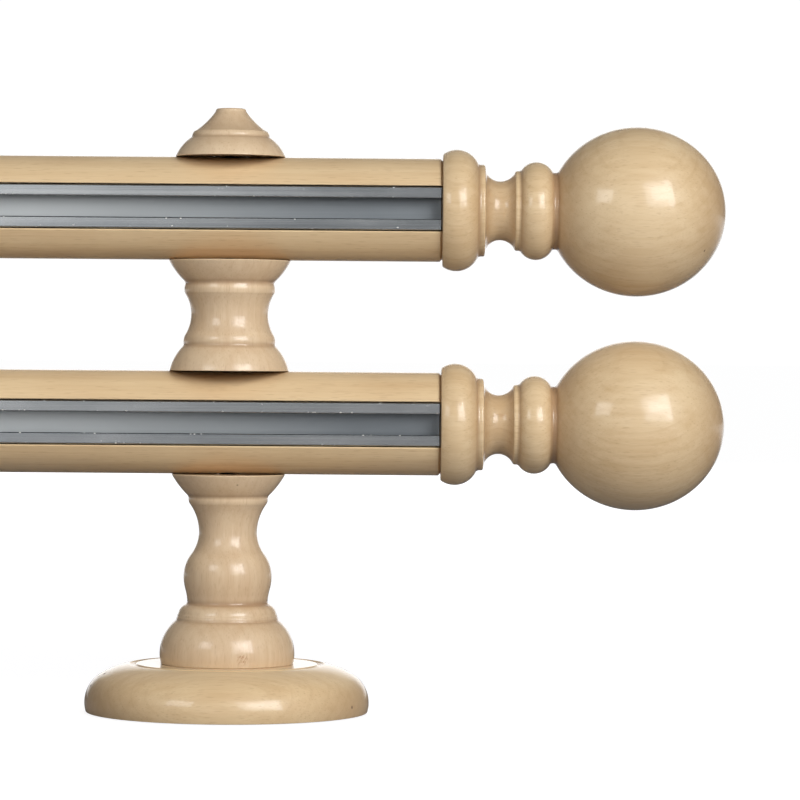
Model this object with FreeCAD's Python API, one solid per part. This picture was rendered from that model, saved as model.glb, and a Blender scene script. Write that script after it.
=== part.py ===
import FreeCAD, Part
import math
import os

# Double curtain pole: two round wooden poles, each with an aluminium curtain track let into it,
# carried one beyond the other by a pair of turned wall brackets and closed by turned ball finials.
# Frame: the wall is the plane z = 0 and +Z points away from it along the brackets, X runs along
# the poles and the track slots face -Y. The origin lies on the wall, midway between the brackets.
# All sizes are in millimetres.

# Poles
POLE_LENGTH = 1000.0
POLE_RADIUS = 14.0
POLE_END_CHAMFER = 0.6
BRACKET_INSET = 57.5

# Tracks and the grooves that hold them
TRACK_WIDTH = 11.6
TRACK_DEPTH = 7.5
TRACK_WALL = 1.1
TRACK_LIP = 1.2
TRACK_SLOT = 5.6
TRACK_EDGE_ROUND = 0.35
TRACK_RECESS = 0.3
TRACK_SETBACK = 0.4
GROOVE_SIDE_CLEARANCE = 0.3
GROOVE_ARRIS_ROUND = 0.3

# Threaded rod, its clearance hole and the threaded sleeves at its ends
THREAD_RADIUS = 3.0
THREAD_FIT = 0.05
ROD_CLEARANCE = 0.3
ROD_END_GAP = 1.0
SLEEVE_WALL = 1.5
SLEEVE_FIT = 0.1
THREAD_END_CHAMFER = 0.4
SLEEVE_RECESS = 0.5
WALL_THREAD_DEPTH = 10.0
ROD_THREAD_DEPTH = 11.0
COUPLING_WEB = 3.0
CAP_INSERT_LENGTH = 8.0

# Dowel screws between finials and poles
DOWEL_RADIUS = 2.5
DOWEL_REACH = 18.0
DOWEL_POINT = 4.0
DOWEL_TIP_RADIUS = 0.4
DOWEL_FIT = 0.05

# Wall rose
ROSE_LEDGE = 6.5
ROSE_RING_WIDTH = 2.1
ROSE_RING_DEPTH = 0.45
ROSE_BORDER = 12.0
ROSE_EDGE_ROUND = 8.9
ROSE_BELLY_HEIGHT = 2.5
ROSE_EDGE_SWEEP = 60.0
ROSE_SLOPE_RISE = 2.35
ROSE_DISC_RISE = 0.45

# Standoff, from its foot to the bell under the inner pole
FOOT_RADIUS = 18.0
FOOT_HEIGHT = 12.0
FOOT_BULGE = 1.85
STEP_RADIUS = 13.75
STEP_HEIGHT = 1.6
STEP_BULGE = 0.25
COVE_RADIUS = 13.3
COVE_HEIGHT = 3.5
COVE_HOLLOW = 0.25
NECK_RADIUS = 10.9
NECK_TO_BULB = 6.7
BULB_RADIUS = 11.95
BULB_TO_WAIST = 12.0
WAIST_RADIUS = 7.9
WAIST_TO_BEAD = 7.4
FLARE_HOLLOW = 0.6
BEAD_RADIUS = 10.3
BEAD_HEIGHT = 2.2
BEAD_BULGE = 0.25
BELL_NECK_RADIUS = 10.75
BELL_HEIGHT = 6.1
BELL_BULGE = 0.3
BELL_RIM_RADIUS = 15.5

# Spacer between the poles
SPACER_BASE_RADIUS = 16.25
SPACER_BASE_HEIGHT = 7.0
SPACER_BASE_BULGE = 0.37
SPACER_BEAD_HEIGHT = 2.8
SPACER_BEAD_BULGE = 0.2
SPACER_LOW_BEAD_RADIUS = 12.35
SPACER_LOW_NECK_RADIUS = 12.05
SPACER_WAIST_HEIGHT = 11.3
SPACER_WAIST_HOLLOW = 1.65
SPACER_HIGH_NECK_RADIUS = 12.2
SPACER_HIGH_BEAD_RADIUS = 12.5
SPACER_BELL_HEIGHT = 6.1
SPACER_BELL_BULGE = 0.39
SPACER_RIM_RADIUS = 16.6

# End cap
CAP_BASE_RADIUS = 15.0
CAP_DOME_HEIGHT = 5.5
CAP_DOME_BULGE = 0.36
CAP_BEAD_RADIUS = 10.75
CAP_BEAD_HEIGHT = 1.9
CAP_BEAD_BULGE = 0.28
CAP_COVE_RADIUS = 9.9
CAP_COVE_HEIGHT = 5.2
CAP_COVE_HOLLOW = 0.5
CAP_NECK_RADIUS = 4.15
CAP_TOP_RADIUS = 3.5
CAP_TOP_HEIGHT = 0.7
CAP_TOP_BULGE = 0.2

# Finial, from the collar on the pole's end to the ball
COLLAR_FACE_RADIUS = 15.25
COLLAR_LENGTH = 9.9
COLLAR_BULGE = 2.5
FILLET_RADIUS = 12.5
FILLET_LENGTH = 1.75
FINIAL_COVE_RADIUS = 11.7
FINIAL_COVE_LENGTH = 7.6
FINIAL_COVE_HOLLOW = 3.25
RING_RADIUS = 10.85
RING_LENGTH = 1.95
FINIAL_BEAD_LENGTH = 8.0
FINIAL_BEAD_BULGE = 2.65
FINIAL_NECK_RADIUS = 10.45
FINIAL_NECK_LENGTH = 2.0
BALL_RADIUS = 23.0
BALL_HALF_LENGTH = 24.2

# How far a cutting shape runs past the face that it opens
OVERCUT = 1.0

# How close two points or two depths lie when they count as the same
SAME_PLACE = 1e-4

# Sizes that follow from the ones above
ROD_RADIUS = THREAD_RADIUS - THREAD_FIT
ROD_HOLE_RADIUS = ROD_RADIUS + ROD_CLEARANCE
SLEEVE_RADIUS = THREAD_RADIUS + SLEEVE_WALL
SLEEVE_HOLE_RADIUS = SLEEVE_RADIUS + SLEEVE_FIT
DOWEL_HOLE_RADIUS = DOWEL_RADIUS + DOWEL_FIT
GROOVE_HALF_WIDTH = TRACK_WIDTH / 2 + GROOVE_SIDE_CLEARANCE
TRACK_FRONT = TRACK_RECESS - math.sqrt(POLE_RADIUS**2 - GROOVE_HALF_WIDTH**2)
TRACK_BACK = TRACK_FRONT + TRACK_DEPTH
BRACKET_X = POLE_LENGTH / 2 - BRACKET_INSET

# Levels of the stack, from the wall outwards
ROSE_SHOULDER = ROSE_BELLY_HEIGHT + ROSE_EDGE_ROUND * math.sin(math.radians(ROSE_EDGE_SWEEP))
ROSE_THICKNESS = ROSE_SHOULDER + ROSE_SLOPE_RISE + ROSE_DISC_RISE
STANDOFF_HEIGHT = (FOOT_HEIGHT + STEP_HEIGHT + COVE_HEIGHT + NECK_TO_BULB + BULB_TO_WAIST
                   + WAIST_TO_BEAD + BEAD_HEIGHT + BELL_HEIGHT)
SPACER_HEIGHT = (SPACER_BASE_HEIGHT + SPACER_WAIST_HEIGHT + SPACER_BELL_HEIGHT
                 + 2 * SPACER_BEAD_HEIGHT)
INNER_POLE_Z = ROSE_THICKNESS + STANDOFF_HEIGHT + POLE_RADIUS
SPACER_Z = INNER_POLE_Z + POLE_RADIUS
OUTER_POLE_Z = SPACER_Z + SPACER_HEIGHT + POLE_RADIUS
CAP_Z = OUTER_POLE_Z + POLE_RADIUS
COUPLING_LENGTH = WALL_THREAD_DEPTH + COUPLING_WEB + ROD_THREAD_DEPTH
COUPLING_TOP = SLEEVE_RECESS + COUPLING_LENGTH
ROD_FOOT_Z = COUPLING_TOP - ROD_THREAD_DEPTH + ROD_END_GAP
ROD_HEAD_Z = CAP_Z + CAP_INSERT_LENGTH - ROD_END_GAP

ORIGIN = FreeCAD.Vector(0, 0, 0)
ALONG_POLE = FreeCAD.Vector(1, 0, 0)
ACROSS = FreeCAD.Vector(0, 1, 0)
FROM_WALL = FreeCAD.Vector(0, 0, 1)


class Outline:
    """Half outline of a turned piece, drawn from its lower end upwards as (radius, height) points."""

    def __init__(self, radius, height=0.0):
        self.start = FreeCAD.Vector(radius, 0, height)
        self.end = self.start
        self.edges = []

    def add(self, edge, end):
        self.edges.append(edge)
        self.end = end

    def line(self, radius, height):
        end = FreeCAD.Vector(radius, 0, height)
        self.add(Part.makeLine(self.end, end), end)

    def arc(self, radius, height, bulge):
        """An arc whose middle stands outside its chord by the bulge, or inside where that is negative."""
        end = FreeCAD.Vector(radius, 0, height)
        chord = end - self.end
        outward = FreeCAD.Vector(chord.z, 0, -chord.x).normalize()
        middle = (self.end + end) * 0.5 + outward * bulge
        self.add(Part.Arc(self.end, middle, end).toShape(), end)

    def smooth_arc(self, radius, height):
        """An arc that carries on in the direction of the edge before it."""
        last = self.edges[-1]
        heading = last.tangentAt(last.LastParameter)
        chord = FreeCAD.Vector(radius, 0, height) - self.end
        outward = FreeCAD.Vector(chord.z, 0, -chord.x).normalize()
        self.arc(radius, height, chord.Length / 2 * math.tan(math.asin(heading.dot(outward)) / 2))

    def ogee(self, radius, height):
        """Two equal arcs that leave and arrive along the axis and meet halfway."""
        rise = height - self.end.z
        step = radius - self.end.x
        half_chord = math.hypot(rise, step) / 2
        arc_radius = half_chord**2 / abs(step)
        sagitta = arc_radius - math.sqrt(arc_radius**2 - half_chord**2 / 4)
        bulge = math.copysign(sagitta, -step)
        self.arc(self.end.x + step / 2, self.end.z + rise / 2, bulge)
        self.arc(radius, height, -bulge)

    def ball(self, radius, half_length):
        """An ellipse that starts at the outline's end and closes on the axis."""
        start_depth = math.sqrt(radius**2 - self.end.x**2)
        start = FreeCAD.Vector(self.end.x, 0, -start_depth)
        widest = FreeCAD.Vector(radius, 0, 0)
        pole = FreeCAD.Vector(0, 0, radius)
        stretch = half_length / radius
        to_place = FreeCAD.Matrix()
        to_place.scale(1, 1, stretch)
        to_place.move(FreeCAD.Vector(0, 0, self.end.z + start_depth * stretch))
        edge = Part.Arc(start, widest, pole).toShape().transformGeometry(to_place)
        self.add(edge, to_place.multVec(pole))

    def turned(self):
        """The solid that the outline makes when it turns about the Z axis."""
        top = FreeCAD.Vector(0, 0, self.end.z)
        base = FreeCAD.Vector(0, 0, self.start.z)
        closing = [self.end, top, base, self.start]
        sides = [Part.makeLine(a, b) for a, b in zip(closing, closing[1:]) if not a.isEqual(b, SAME_PLACE)]
        face = Part.Face(Part.Wire(self.edges + sides))
        return face.revolve(ORIGIN, FROM_WALL, 360)


def hole(radius, low, high):
    """A cylinder on the Z axis between two heights."""
    return Part.makeCylinder(radius, high - low, FreeCAD.Vector(0, 0, low))


def block(low, high):
    """A box between two opposite corners."""
    size = [b - a for a, b in zip(low, high)]
    return Part.makeBox(*size, FreeCAD.Vector(*low))


def lengthwise_edges(shape, depth):
    """The edges along X that lie at one depth, which is their y."""
    def fits(edge):
        return edge.BoundBox.XLength > POLE_LENGTH / 2 and abs(edge.CenterOfMass.y - depth) < SAME_PLACE
    return [edge for edge in shape.Edges if fits(edge)]


def wall_rose():
    """Round-edged disc with a fine ring turned round the seat of the standoff."""
    disc_radius = FOOT_RADIUS + ROSE_LEDGE
    ring_radius = disc_radius + ROSE_RING_WIDTH
    edge_centre = ring_radius + ROSE_BORDER - ROSE_EDGE_ROUND
    sweep = math.radians(ROSE_EDGE_SWEEP)
    base_angle = -math.asin(ROSE_BELLY_HEIGHT / ROSE_EDGE_ROUND)
    edge_bulge = ROSE_EDGE_ROUND * (1 - math.cos((sweep - base_angle) / 2))
    outline = Outline(edge_centre + ROSE_EDGE_ROUND * math.cos(base_angle))
    outline.arc(edge_centre + ROSE_EDGE_ROUND * math.cos(sweep), ROSE_SHOULDER, edge_bulge)
    outline.smooth_arc(ring_radius, ROSE_SHOULDER + ROSE_SLOPE_RISE)
    outline.arc(disc_radius, ROSE_THICKNESS, -ROSE_RING_DEPTH)
    return outline.turned().cut(hole(SLEEVE_HOLE_RADIUS, -OVERCUT, ROSE_THICKNESS + OVERCUT))


def standoff():
    """Baluster: round foot, step, cove, bulb, waist, bead and bell. Its foot is at z = 0."""
    step = FOOT_HEIGHT
    cove = step + STEP_HEIGHT
    neck = cove + COVE_HEIGHT
    bulb = neck + NECK_TO_BULB
    waist = bulb + BULB_TO_WAIST
    bead = waist + WAIST_TO_BEAD
    bell = bead + BEAD_HEIGHT
    outline = Outline(FOOT_RADIUS)
    outline.arc(STEP_RADIUS, step, FOOT_BULGE)
    outline.arc(COVE_RADIUS, cove, STEP_BULGE)
    outline.arc(NECK_RADIUS, neck, -COVE_HOLLOW)
    outline.ogee(BULB_RADIUS, bulb)
    outline.ogee(WAIST_RADIUS, waist)
    outline.arc(BEAD_RADIUS, bead, -FLARE_HOLLOW)
    outline.arc(BELL_NECK_RADIUS, bell, BEAD_BULGE)
    outline.arc(BELL_RIM_RADIUS, STANDOFF_HEIGHT, BELL_BULGE)
    sleeve_seat = hole(SLEEVE_HOLE_RADIUS, -OVERCUT, COUPLING_TOP - ROSE_THICKNESS)
    rod_hole = hole(ROD_HOLE_RADIUS, -OVERCUT, STANDOFF_HEIGHT + OVERCUT)
    return outline.turned().cut(sleeve_seat.fuse(rod_hole))


def spacer():
    """Waisted turning between the poles, with a bead above and below its waist."""
    low_bead = SPACER_BASE_HEIGHT
    waist = low_bead + SPACER_BEAD_HEIGHT
    high_bead = waist + SPACER_WAIST_HEIGHT
    bell = high_bead + SPACER_BEAD_HEIGHT
    outline = Outline(SPACER_BASE_RADIUS)
    outline.arc(SPACER_LOW_BEAD_RADIUS, low_bead, SPACER_BASE_BULGE)
    outline.arc(SPACER_LOW_NECK_RADIUS, waist, SPACER_BEAD_BULGE)
    outline.arc(SPACER_HIGH_NECK_RADIUS, high_bead, -SPACER_WAIST_HOLLOW)
    outline.arc(SPACER_HIGH_BEAD_RADIUS, bell, SPACER_BEAD_BULGE)
    outline.arc(SPACER_RIM_RADIUS, SPACER_HEIGHT, SPACER_BELL_BULGE)
    return outline.turned().cut(hole(ROD_HOLE_RADIUS, -OVERCUT, SPACER_HEIGHT + OVERCUT))


def end_cap():
    """Stepped button: dome, bead, cove and a small flat top, with a blind seat for its insert."""
    bead = CAP_DOME_HEIGHT
    cove = bead + CAP_BEAD_HEIGHT
    neck = cove + CAP_COVE_HEIGHT
    outline = Outline(CAP_BASE_RADIUS)
    outline.arc(CAP_BEAD_RADIUS, bead, CAP_DOME_BULGE)
    outline.arc(CAP_COVE_RADIUS, cove, CAP_BEAD_BULGE)
    outline.arc(CAP_NECK_RADIUS, neck, -CAP_COVE_HOLLOW)
    outline.arc(CAP_TOP_RADIUS, neck + CAP_TOP_HEIGHT, CAP_TOP_BULGE)
    return outline.turned().cut(hole(SLEEVE_HOLE_RADIUS, -OVERCUT, CAP_INSERT_LENGTH))


def chamfered_bar(radius, length, chamfer):
    """A round bar that stands on z = 0, with both ends chamfered."""
    outline = Outline(radius - chamfer)
    outline.line(radius, chamfer)
    outline.line(radius, length - chamfer)
    outline.line(radius - chamfer, length)
    return outline.turned()


def coupling_sleeve():
    """Sleeve threaded from both ends: the wall's hanger bolt from below, the stack rod from above."""
    bar = chamfered_bar(SLEEVE_RADIUS, COUPLING_LENGTH, THREAD_END_CHAMFER)
    wall_thread = hole(THREAD_RADIUS, -OVERCUT, WALL_THREAD_DEPTH)
    rod_thread = hole(THREAD_RADIUS, COUPLING_LENGTH - ROD_THREAD_DEPTH,
                      COUPLING_LENGTH + OVERCUT)
    return bar.cut(wall_thread).cut(rod_thread)


def cap_insert():
    """Short threaded sleeve in the end cap."""
    bar = chamfered_bar(SLEEVE_RADIUS, CAP_INSERT_LENGTH, THREAD_END_CHAMFER)
    return bar.cut(hole(THREAD_RADIUS, -OVERCUT, CAP_INSERT_LENGTH + OVERCUT))


def stack_rod():
    """Rod that clamps a bracket and both poles together."""
    return chamfered_bar(ROD_RADIUS, ROD_HEAD_Z - ROD_FOOT_Z, THREAD_END_CHAMFER)


def dowel_screw():
    """Headless screw with a point at each end, half in the pole and half in the finial."""
    outline = Outline(DOWEL_TIP_RADIUS, -DOWEL_REACH)
    outline.line(DOWEL_RADIUS, DOWEL_POINT - DOWEL_REACH)
    outline.line(DOWEL_RADIUS, DOWEL_REACH - DOWEL_POINT)
    outline.line(DOWEL_TIP_RADIUS, DOWEL_REACH)
    return outline.turned()


def finial():
    """One turning: collar bead, fillet, cove, ring, bead, neck and ball. Its collar is at z = 0."""
    fillet = COLLAR_LENGTH
    cove = fillet + FILLET_LENGTH
    ring = cove + FINIAL_COVE_LENGTH
    bead = ring + RING_LENGTH
    neck = bead + FINIAL_BEAD_LENGTH
    outline = Outline(COLLAR_FACE_RADIUS)
    outline.arc(FILLET_RADIUS, fillet, COLLAR_BULGE)
    outline.line(FILLET_RADIUS, cove)
    outline.line(FINIAL_COVE_RADIUS, cove)
    outline.arc(RING_RADIUS, ring, -FINIAL_COVE_HOLLOW)
    outline.line(RING_RADIUS, bead)
    outline.arc(FINIAL_NECK_RADIUS, neck, FINIAL_BEAD_BULGE)
    outline.line(FINIAL_NECK_RADIUS, neck + FINIAL_NECK_LENGTH)
    outline.ball(BALL_RADIUS, BALL_HALF_LENGTH)
    return outline.turned().cut(hole(DOWEL_HOLE_RADIUS, -OVERCUT, DOWEL_REACH))


def pole():
    """Round pole along X through the origin, with the track's groove, rod holes and screw holes."""
    half = POLE_LENGTH / 2
    bar = chamfered_bar(POLE_RADIUS, POLE_LENGTH, POLE_END_CHAMFER)
    bar.rotate(ORIGIN, ACROSS, 90)
    bar.translate(ALONG_POLE * -half)
    groove = block((-POLE_LENGTH, -2 * POLE_RADIUS, -GROOVE_HALF_WIDTH),
                   (POLE_LENGTH, TRACK_BACK, GROOVE_HALF_WIDTH))
    grooved = bar.cut(groove)
    arrises = lengthwise_edges(grooved, TRACK_FRONT - TRACK_RECESS)
    grooved = grooved.makeFillet(GROOVE_ARRIS_ROUND, arrises)
    for side in (-1, 1):
        rod_hole = hole(ROD_HOLE_RADIUS, -2 * POLE_RADIUS, 2 * POLE_RADIUS)
        rod_hole.translate(ALONG_POLE * side * BRACKET_X)
        screw_hole = Part.makeCylinder(DOWEL_HOLE_RADIUS, DOWEL_REACH, ALONG_POLE * side * half,
                                       ALONG_POLE * -side)
        grooved = grooved.cut(rod_hole).cut(screw_hole)
    return grooved


def track():
    """C-section along X: a channel behind two lips, with a slot between them."""
    half = POLE_LENGTH / 2 - TRACK_SETBACK
    half_width = TRACK_WIDTH / 2
    body = block((-half, TRACK_FRONT, -half_width), (half, TRACK_BACK, half_width))
    channel = block((-POLE_LENGTH, TRACK_FRONT + TRACK_LIP, TRACK_WALL - half_width),
                    (POLE_LENGTH, TRACK_BACK - TRACK_WALL, half_width - TRACK_WALL))
    slot = block((-POLE_LENGTH, TRACK_FRONT - OVERCUT, -TRACK_SLOT / 2),
                 (POLE_LENGTH, TRACK_FRONT + TRACK_LIP + OVERCUT, TRACK_SLOT / 2))
    section = body.cut(channel).cut(slot)
    return section.makeFillet(TRACK_EDGE_ROUND, lengthwise_edges(section, TRACK_FRONT))


def raised(shape, z, x=0.0):
    """The shape moved out from the wall and along the poles."""
    shape.translate(FreeCAD.Vector(x, 0, z))
    return shape


def bracket_pieces(name, x):
    """The pieces of one bracket, on its axis at x."""
    return {
        f"{name}_wall_rose": raised(wall_rose(), 0, x),
        f"{name}_coupling_sleeve": raised(coupling_sleeve(), SLEEVE_RECESS, x),
        f"{name}_standoff": raised(standoff(), ROSE_THICKNESS, x),
        f"{name}_spacer": raised(spacer(), SPACER_Z, x),
        f"{name}_end_cap": raised(end_cap(), CAP_Z, x),
        f"{name}_cap_insert": raised(cap_insert(), CAP_Z, x),
        f"{name}_stack_rod": raised(stack_rod(), ROD_FOOT_Z, x),
    }


def pole_pieces(name, z):
    """One pole with its track, and a finial and a dowel screw at each end."""
    pieces = {f"{name}_pole": raised(pole(), z), f"{name}_track": raised(track(), z)}
    for side, direction in (("left", -1), ("right", 1)):
        for piece, shape in (("finial", finial()), ("dowel_screw", dowel_screw())):
            shape.rotate(ORIGIN, ACROSS, 90 * direction)
            pieces[f"{name}_{side}_{piece}"] = raised(shape, z, direction * POLE_LENGTH / 2)
    return pieces


def main():
    os.makedirs("parts", exist_ok=True)
    pieces = {
        **bracket_pieces("left", -BRACKET_X),
        **bracket_pieces("right", BRACKET_X),
        **pole_pieces("inner", INNER_POLE_Z),
        **pole_pieces("outer", OUTER_POLE_Z),
    }
    for name, shape in pieces.items():
        shape.exportStep(f"parts/{name}.step")


main()
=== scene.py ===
import logging
import math
from dataclasses import dataclass
from enum import Enum
from typing import Any, ClassVar

import bpy
import numpy as np
from mathutils import Euler, Matrix, Vector


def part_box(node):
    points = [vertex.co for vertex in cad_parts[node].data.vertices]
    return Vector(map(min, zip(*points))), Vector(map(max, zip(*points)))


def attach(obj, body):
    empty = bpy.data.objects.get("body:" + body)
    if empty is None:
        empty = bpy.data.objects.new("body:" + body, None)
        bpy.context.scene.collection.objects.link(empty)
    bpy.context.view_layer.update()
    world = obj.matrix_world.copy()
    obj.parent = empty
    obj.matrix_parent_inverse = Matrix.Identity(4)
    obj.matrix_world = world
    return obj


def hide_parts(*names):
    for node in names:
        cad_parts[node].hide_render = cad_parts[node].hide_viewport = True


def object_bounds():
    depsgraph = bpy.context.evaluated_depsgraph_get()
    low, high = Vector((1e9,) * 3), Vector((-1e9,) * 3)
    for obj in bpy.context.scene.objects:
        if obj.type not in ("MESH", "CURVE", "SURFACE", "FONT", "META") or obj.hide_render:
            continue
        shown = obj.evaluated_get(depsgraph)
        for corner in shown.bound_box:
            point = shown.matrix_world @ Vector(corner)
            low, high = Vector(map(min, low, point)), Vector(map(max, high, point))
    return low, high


# A double curtain pole: two lacquered wooden poles with aluminium tracks, on turned wall brackets.
# The turned pieces are made again from their outlines, with softened arrises and real threads, and
# the poles and tracks keep the frame's own meshes. Sizes are in millimetres, meshes in metres.

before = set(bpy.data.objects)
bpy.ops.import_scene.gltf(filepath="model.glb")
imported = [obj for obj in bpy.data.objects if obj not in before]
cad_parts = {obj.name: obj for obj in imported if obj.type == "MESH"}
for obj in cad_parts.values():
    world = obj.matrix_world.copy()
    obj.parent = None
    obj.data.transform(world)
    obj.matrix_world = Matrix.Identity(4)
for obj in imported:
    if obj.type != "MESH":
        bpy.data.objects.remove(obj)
CAD_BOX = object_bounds()

LOG = logging.getLogger("double_curtain_pole")
MM = 0.001
BODY = "root"

Colour = tuple[float, float, float, float]
Triple = tuple[float, float, float]
Pair = tuple[float, float]


def shade(red: float, green: float, blue: float) -> Colour:
    """Turns a colour as a screen shows it, from 0 to 255, into the linear colour that shaders take.

    Args:
        red: the red part.
        green: the green part.
        blue: the blue part.

    Returns:
        The linear colour, with full alpha.
    """
    screen = np.array([red, green, blue]) / 255
    linear = np.where(screen <= 0.04045, screen / 12.92, ((screen + 0.055) / 1.055) ** 2.4)
    return (*linear.tolist(), 1.0)


class Side(Enum):
    """The end of the pole that a bracket or finial belongs to, with its direction along X."""

    LEFT = -1
    RIGHT = 1

    @property
    def word(self) -> str:
        """The side's name in the frame's nodes."""
        return self.name.lower()


class Row(Enum):
    """The pole next to the wall and the pole beyond it, with a number that sets their grain apart."""

    INNER = 1
    OUTER = 2

    @property
    def word(self) -> str:
        """The row's name in the frame's nodes."""
        return self.name.lower()


class Grain(Enum):
    """Which way a piece's fibres run, as the turn that lays that direction along a pattern's Z."""

    ALONG_POLE = (0.0, -math.pi / 2, 0.0)
    FROM_WALL = (0.0, 0.0, 0.0)


class Value:
    """One output of a shader node, on which arithmetic adds Math nodes."""

    def __init__(self, graph: "Graph", socket: bpy.types.NodeSocket) -> None:
        """Wraps a socket of a graph's tree."""
        self.graph = graph
        self.socket = socket

    def sibling(self, name: str) -> "Value":
        """Another output of the same node."""
        return Value(self.graph, self.socket.node.outputs[name])

    def math(self, operation: str, *operands: Any) -> "Value":
        """A Math node on the operands, in their order."""
        return self.graph.node("ShaderNodeMath", {"operation": operation}, dict(enumerate(operands)))

    def __add__(self, other: Any) -> "Value":
        """The sum."""
        return self.math("ADD", self, other)

    def __radd__(self, other: Any) -> "Value":
        """The sum, with this value second."""
        return self.math("ADD", other, self)

    def __sub__(self, other: Any) -> "Value":
        """The difference."""
        return self.math("SUBTRACT", self, other)

    def __rsub__(self, other: Any) -> "Value":
        """The difference, with this value second."""
        return self.math("SUBTRACT", other, self)

    def __mul__(self, other: Any) -> "Value":
        """The product."""
        return self.math("MULTIPLY", self, other)

    def __truediv__(self, other: Any) -> "Value":
        """The quotient."""
        return self.math("DIVIDE", self, other)

    def __pow__(self, other: Any) -> "Value":
        """The power."""
        return self.math("POWER", self, other)

    def __abs__(self) -> "Value":
        """The size without its sign."""
        return self.math("ABSOLUTE", self)

    def fraction(self) -> "Value":
        """What is left over the whole number below."""
        return self.math("FRACT", self)

    def at_least(self, limit: Any) -> "Value":
        """The larger of this value and a limit."""
        return self.math("MAXIMUM", self, limit)


class Graph:
    """The node tree of one finish, of the floor or of the world."""

    MIX_FIRST: ClassVar[int] = 6
    MIX_SECOND: ClassVar[int] = 7
    MIX_RESULT: ClassVar[int] = 2

    def __init__(self, tree: bpy.types.NodeTree) -> None:
        """Starts from an empty tree."""
        self.tree = tree
        tree.nodes.clear()

    @classmethod
    def of_material(cls, name: str) -> tuple[bpy.types.Material, "Graph"]:
        """Makes a material.

        Args:
            name: the material's name.

        Returns:
            The material and its empty graph.
        """
        material = bpy.data.materials.new(name)
        material.use_nodes = True
        return material, cls(material.node_tree)

    def node(self, kind: str, settings: dict[str, Any] | None = None,
             inputs: dict[Any, Any] | None = None, output: Any = 0) -> Value:
        """Adds a node.

        Args:
            kind: the node's type.
            settings: its properties, which are set first.
            inputs: a number, colour or Value for each socket, by name or place.
            output: the output to return, by name or place.

        Returns:
            That output.
        """
        made = self.tree.nodes.new(kind)
        for name, setting in (settings or {}).items():
            setattr(made, name, setting)
        for name, given in (inputs or {}).items():
            if isinstance(given, Value):
                self.tree.links.new(given.socket, made.inputs[name])
            else:
                made.inputs[name].default_value = given
        return Value(self, made.outputs[output])

    def placed(self, centre: Triple, grain: Grain) -> Value:
        """Object coordinates in millimetres about a centre, turned so that the grain runs along Z.

        Args:
            centre: the pattern's centre, in millimetres.
            grain: the direction of the fibres.

        Returns:
            The coordinates.
        """
        turn = Euler(grain.value)
        moved = -(turn.to_matrix() @ Vector(centre))
        coordinates = self.node("ShaderNodeTexCoord", output="Object")
        return self.node("ShaderNodeMapping", {"vector_type": "POINT"},
                         {"Vector": coordinates, "Location": moved, "Rotation": turn,
                          "Scale": (1 / MM,) * 3})

    def stretched(self, place: Value, factors: Triple, seed: float) -> Value:
        """Coordinates times a factor along each axis, moved on by a seed."""
        return self.node("ShaderNodeVectorMath", {"operation": "MULTIPLY_ADD"},
                         {0: place, 1: factors, 2: (seed * 17.3, seed * 5.9, seed * 11.1)})

    def noise(self, place: Value, factors: Triple, seed: float, detail: float = 2.0) -> Value:
        """Smooth noise around one half, with features about a millimetre over each factor."""
        return self.node("ShaderNodeTexNoise", None,
                         {"Vector": self.stretched(place, factors, seed), "Scale": 1.0,
                          "Detail": detail}, "Fac")

    def cells(self, place: Value, factors: Triple, seed: float) -> Value:
        """Distance to the middle of the nearest of many scattered cells."""
        return self.node("ShaderNodeTexVoronoi", {"feature": "F1"},
                         {"Vector": self.stretched(place, factors, seed), "Scale": 1.0}, "Distance")

    def part(self, vector: Value, name: str) -> Value:
        """One part of a vector: X, Y or Z."""
        return self.node("ShaderNodeSeparateXYZ", None, {0: vector}, name)

    def ramp(self, value: Value, low: float, high: float) -> Value:
        """A smooth step from 0 at the low value to 1 at the high one, which may be the smaller."""
        return self.node("ShaderNodeMapRange", {"interpolation_type": "SMOOTHSTEP"},
                         {"Value": value, "From Min": low, "From Max": high})

    def attribute(self, name: str) -> Value:
        """A number that the piece's mesh holds at each point, or 0 where it holds none."""
        return self.node("ShaderNodeAttribute", {"attribute_name": name}, output="Fac")

    def blend(self, factor: Any, first: Any, second: Any) -> Value:
        """The first colour at a factor of 0, the second at 1."""
        return self.node("ShaderNodeMix", {"data_type": "RGBA"},
                         {0: factor, self.MIX_FIRST: first, self.MIX_SECOND: second}, self.MIX_RESULT)

    def bump(self, height: Value, depth_mm: float, strength: float) -> Value:
        """A normal that follows a height of 0 to 1 over a depth."""
        return self.node("ShaderNodeBump", None,
                         {"Height": height, "Distance": depth_mm * MM, "Strength": strength})

    def surface(self, inputs: dict[str, Any]) -> None:
        """Ends a material's graph in a Principled shader with these inputs."""
        shader = self.node("ShaderNodeBsdfPrincipled", None, inputs)
        self.node_output("ShaderNodeOutputMaterial", shader)

    def node_output(self, kind: str, shader: Value) -> None:
        """Links a shader to the tree's output node."""
        made = self.tree.nodes.new(kind)
        self.tree.links.new(shader.socket, made.inputs["Surface"])


class Lacquer(Enum):
    """The casts that the lacquer takes: its cream, then the tan over denser grain."""

    HONEY = (shade(225, 199, 158), shade(209, 178, 136))
    ROSY = (shade(221, 197, 164), shade(206, 177, 142))
    AMBER = (shade(222, 197, 158), shade(204, 173, 130))


@dataclass(frozen=True)
class Mark:
    """A small mark in the lacquer: its place about the piece's centre, its radius and its strength.

    A scuffed mark is broken into strokes, and any other is one dot.
    """

    place: Triple
    radius: float
    strength: float = 0.8
    scuffed: bool = False


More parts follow.
